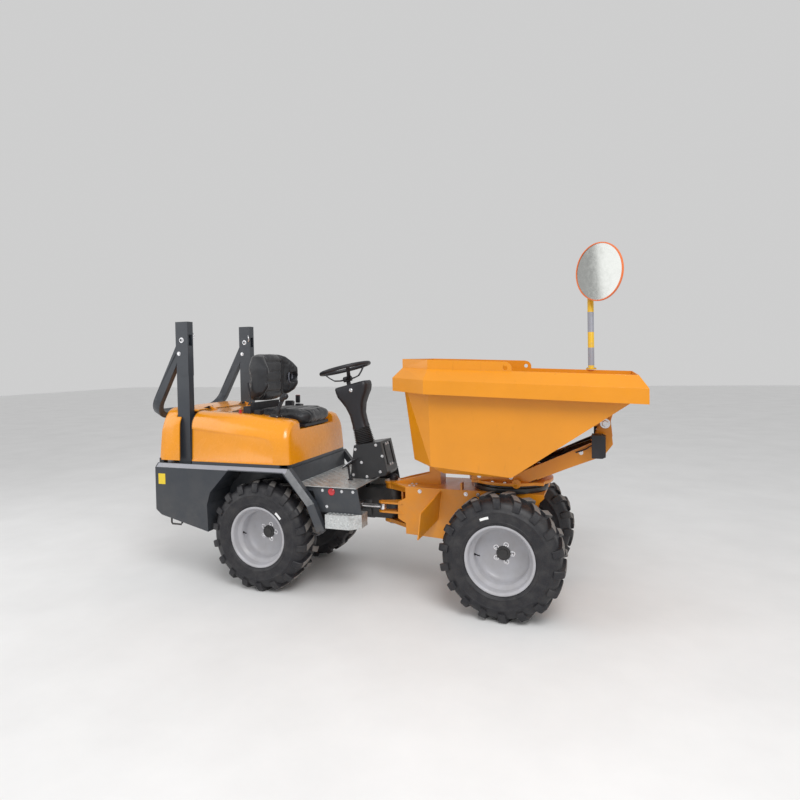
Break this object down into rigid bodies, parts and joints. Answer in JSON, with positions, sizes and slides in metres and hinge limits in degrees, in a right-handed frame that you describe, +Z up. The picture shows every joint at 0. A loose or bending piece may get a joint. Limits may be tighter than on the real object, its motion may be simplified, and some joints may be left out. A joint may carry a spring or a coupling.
{
  "type": "articulated swivel-skip front tip dumper",
  "caption": "Compact articulated dumper with a swivelling, front-tipping skip, four lugged tyres, folding roll hoop and an open driver's seat over the engine hood.",
  "frame": {"origin": "on the ground under the middle of the machine's length and width", "axes": "+X forward, towards the skip's pouring lip; +Y to the driver's left; +Z up"},
  "size_m": [3.4178, 1.12, 2.3397],
  "materials": {
    "yellow_paint": "semi-gloss yellow-orange paint",
    "hood_paint": "glossy yellow-orange moulding",
    "dark_paint": "anthracite satin paint",
    "black_paint": "black satin paint",
    "black_plastic": "grained black plastic",
    "black_vinyl": "grained vinyl with piping",
    "bellows_rubber": "matt black rubber",
    "tyre_rubber": "dusty black tread rubber",
    "wheel_paint": "silver-grey wheel paint",
    "steel": "bare steel",
    "rod_chrome": "hard chrome",
    "floor_plate": "chequer plate",
    "engine_block": "cast and painted engine and pump, one block",
    "pole_grey": "grey and yellow banded paint",
    "mirror_orange": "orange moulding behind mirror glass"
  },
  "bodies": {
    "rear_machine": {"rear_frame": "black_paint", "tow_bracket": "black_paint", "rear_body": "dark_paint", "rear_cover": "hood_paint", "engine": "engine_block", "roll_posts": "dark_paint", "footwell": "dark_paint", "floor_plate": "floor_plate", "side_steps": "floor_plate", "pedals": "black_plastic", "steering_tower": "black_paint", "column_bellows": "bellows_rubber", "column_cowl": "black_plastic", "rear_axle": "black_paint"},
    "tilting_hood": {"hood": "hood_paint", "seat_cushion": "black_vinyl", "seat_back": "black_vinyl", "seat_pan": "black_plastic", "control_lever": "black_plastic", "belt_reels": "black_plastic"},
    "folding_hoop": {"roll_hoop": "dark_paint"},
    "hand_wheel": {"steering_wheel": "black_plastic"},
    "front_machine": {"front_chassis": "yellow_paint", "pivot_pin": "steel", "slew_ring": "black_paint", "front_axle": "black_paint"},
    "turntable": {"swivel_frame": "yellow_paint", "tip_pin": "steel", "work_lamps": "black_plastic"},
    "tipping_skip": {"skip": "yellow_paint", "spill_plates": "yellow_paint", "mirror_pole": "pole_grey", "mirror_head": "mirror_orange"},
    "tip_cylinder": {"tip_barrel": "black_paint"},
    "tip_piston": {"tip_rod": "rod_chrome"},
    "steer_cylinder": {"steer_barrel": "black_paint"},
    "steer_piston": {"steer_rod": "rod_chrome"},
    "wheel_fr": {"tyre_fr": "tyre_rubber", "rim_fr": "wheel_paint"},
    "wheel_fl": {"tyre_fl": "tyre_rubber", "rim_fl": "wheel_paint"},
    "wheel_rr": {"tyre_rr": "tyre_rubber", "rim_rr": "wheel_paint"},
    "wheel_rl": {"tyre_rl": "tyre_rubber", "rim_rl": "wheel_paint"}
  },
  "joints": [
    {"name": "steer", "type": "hinge", "parent": "rear_machine", "child": "front_machine", "pos_m": [0.07891, 0, 0.56], "axis": [0, 0, 1], "range_deg": [-33, 33]},
    {"name": "hand_wheel_turn", "type": "hinge", "parent": "rear_machine", "child": "hand_wheel", "pos_m": [-0.28109, 0, 1.509], "axis": [-0.2334, 0, 0.9724], "continuous": true},
    {"name": "hood_tilt", "type": "hinge", "parent": "rear_machine", "child": "tilting_hood", "pos_m": [-1.28909, 0, 1.24], "axis": [0, -1, 0], "range_deg": [0, 35]},
    {"name": "hoop_fold", "type": "hinge", "parent": "rear_machine", "child": "folding_hoop", "pos_m": [-1.37309, 0, 1.737], "axis": [0, 1, 0], "range_deg": [0, 151.5]},
    {"name": "skip_swivel", "type": "hinge", "parent": "front_machine", "child": "turntable", "pos_m": [0.89891, 0, 0.78], "axis": [0, 0, 1], "range_deg": [-90, 90]},
    {"name": "skip_tip", "type": "hinge", "parent": "turntable", "child": "tipping_skip", "pos_m": [1.48691, 0, 1.165], "axis": [0, 1, 0], "range_deg": [0, 65]},
    {"name": "tip_cylinder_turn", "type": "hinge", "parent": "turntable", "child": "tip_cylinder", "pos_m": [1.44091, 0, 1.022], "axis": [0, 1, 0], "range_deg": [-1, 70]},
    {"name": "tip_rod_slide", "type": "slide", "parent": "tip_cylinder", "child": "tip_piston", "axis": [-0.9291, 0, -0.3697], "range_m": [-0.001, 0.15]},
    {"name": "steer_cylinder_turn", "type": "hinge", "parent": "rear_machine", "child": "steer_cylinder", "pos_m": [-0.36109, -0.15, 0.567], "axis": [0, 0, 1], "range_deg": [-2, 2]},
    {"name": "steer_rod_slide", "type": "slide", "parent": "steer_cylinder", "child": "steer_piston", "axis": [0.9989, -0.0476, 0], "range_m": [-0.0958, 0.0958]},
    {"name": "wheel_fr_roll", "type": "hinge", "parent": "front_machine", "child": "wheel_fr", "pos_m": [0.89891, -0.382, 0.375], "axis": [0, 1, 0], "continuous": true},
    {"name": "wheel_fl_roll", "type": "hinge", "parent": "front_machine", "child": "wheel_fl", "pos_m": [0.89891, 0.382, 0.375], "axis": [0, 1, 0], "continuous": true},
    {"name": "wheel_rr_roll", "type": "hinge", "parent": "rear_machine", "child": "wheel_rr", "pos_m": [-0.74109, -0.382, 0.375], "axis": [0, 1, 0], "continuous": true},
    {"name": "wheel_rl_roll", "type": "hinge", "parent": "rear_machine", "child": "wheel_rl", "pos_m": [-0.74109, 0.382, 0.375], "axis": [0, 1, 0], "continuous": true}
  ],
  "couplings": [
    {"joint": "tip_cylinder_turn", "follows": "skip_tip", "ratio": 1.05},
    {"joint": "tip_rod_slide", "follows": "skip_tip", "m_per_rad": 0.13},
    {"joint": "steer_cylinder_turn", "follows": "steer", "ratio": -0.03},
    {"joint": "steer_rod_slide", "follows": "steer", "m_per_rad": 0.1655}
  ]
}
